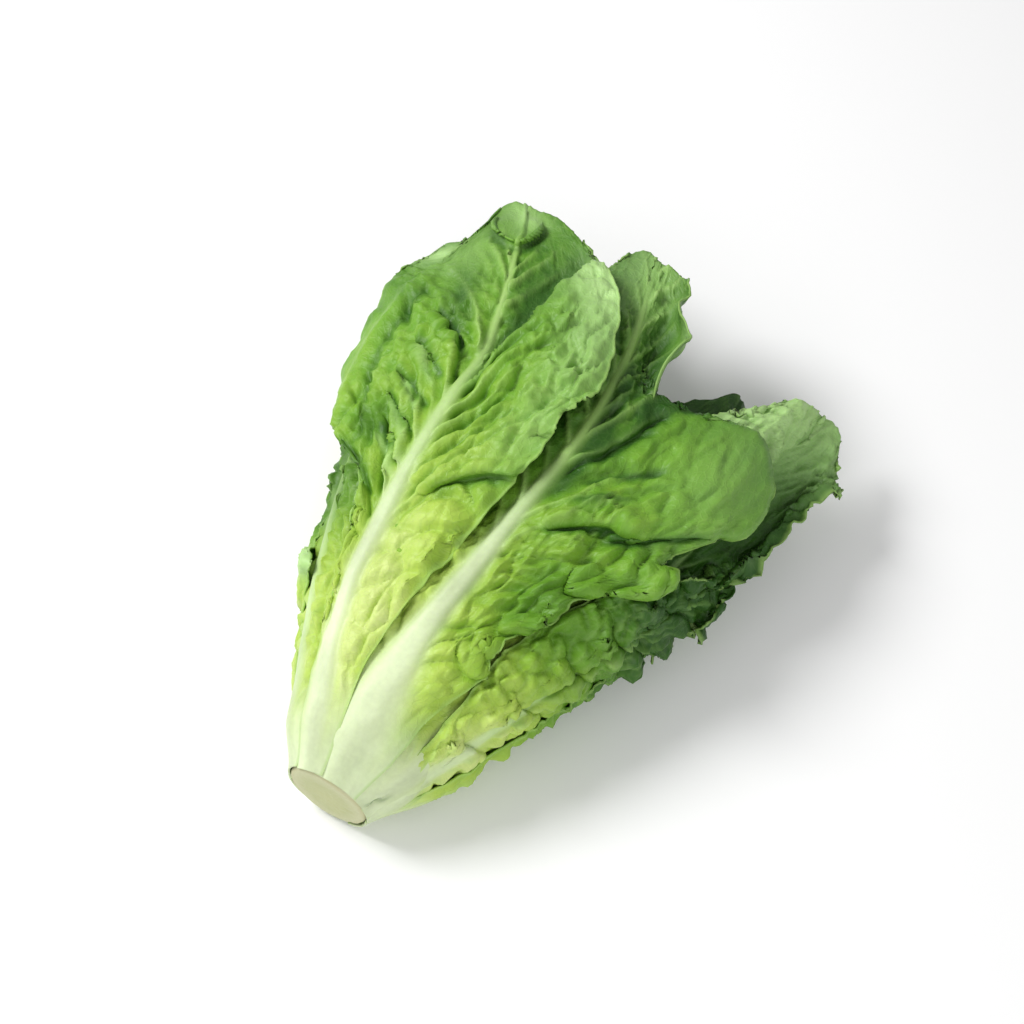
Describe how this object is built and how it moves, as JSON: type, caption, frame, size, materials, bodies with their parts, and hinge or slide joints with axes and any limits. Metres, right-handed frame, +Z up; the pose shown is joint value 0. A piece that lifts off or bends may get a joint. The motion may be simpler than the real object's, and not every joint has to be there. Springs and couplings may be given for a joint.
{
  "type": "romaine lettuce head",
  "caption": "Whole romaine lettuce head lying on its side: short cut stem wrapped by long overlapping leaves that fan out from white ribbed bases to broad green tips.",
  "frame": {"origin": "middle of the head's box, on the surface it lies on", "axes": "+Y from the cut stem towards the leaf tips, +Z up from the surface, +X across the fan of leaves"},
  "size_m": [0.2067, 0.274, 0.0945],
  "materials": {
    "stem": "matte cut plant tissue, khaki with a browned rim",
    "outer_leaf": "satin leaf, white rib at the base, mid green blade",
    "middle_leaf": "satin leaf, yellow green",
    "heart_leaf": "satin leaf, pale yellow"
  },
  "bodies": {
    "root": {"stem_core": "stem", "outer_leaf_top_left": "outer_leaf", "outer_leaf_top_centre": "outer_leaf", "outer_leaf_right": "outer_leaf", "outer_leaf_lower_right": "outer_leaf", "outer_leaf_under_right": "outer_leaf", "outer_leaf_under": "outer_leaf", "outer_leaf_under_left": "outer_leaf", "outer_leaf_left": "outer_leaf", "middle_leaf_1": "middle_leaf", "middle_leaf_2": "middle_leaf", "middle_leaf_3": "middle_leaf", "middle_leaf_4": "middle_leaf", "middle_leaf_5": "middle_leaf", "middle_leaf_6": "middle_leaf", "middle_leaf_7": "middle_leaf", "middle_leaf_8": "middle_leaf", "middle_leaf_9": "middle_leaf", "heart_leaf_1": "heart_leaf", "heart_leaf_2": "heart_leaf", "heart_leaf_3": "heart_leaf", "heart_leaf_4": "heart_leaf", "heart_leaf_5": "heart_leaf", "heart_leaf_6": "heart_leaf", "heart_leaf_7": "heart_leaf", "heart_leaf_8": "heart_leaf"}
  },
  "joints": []
}
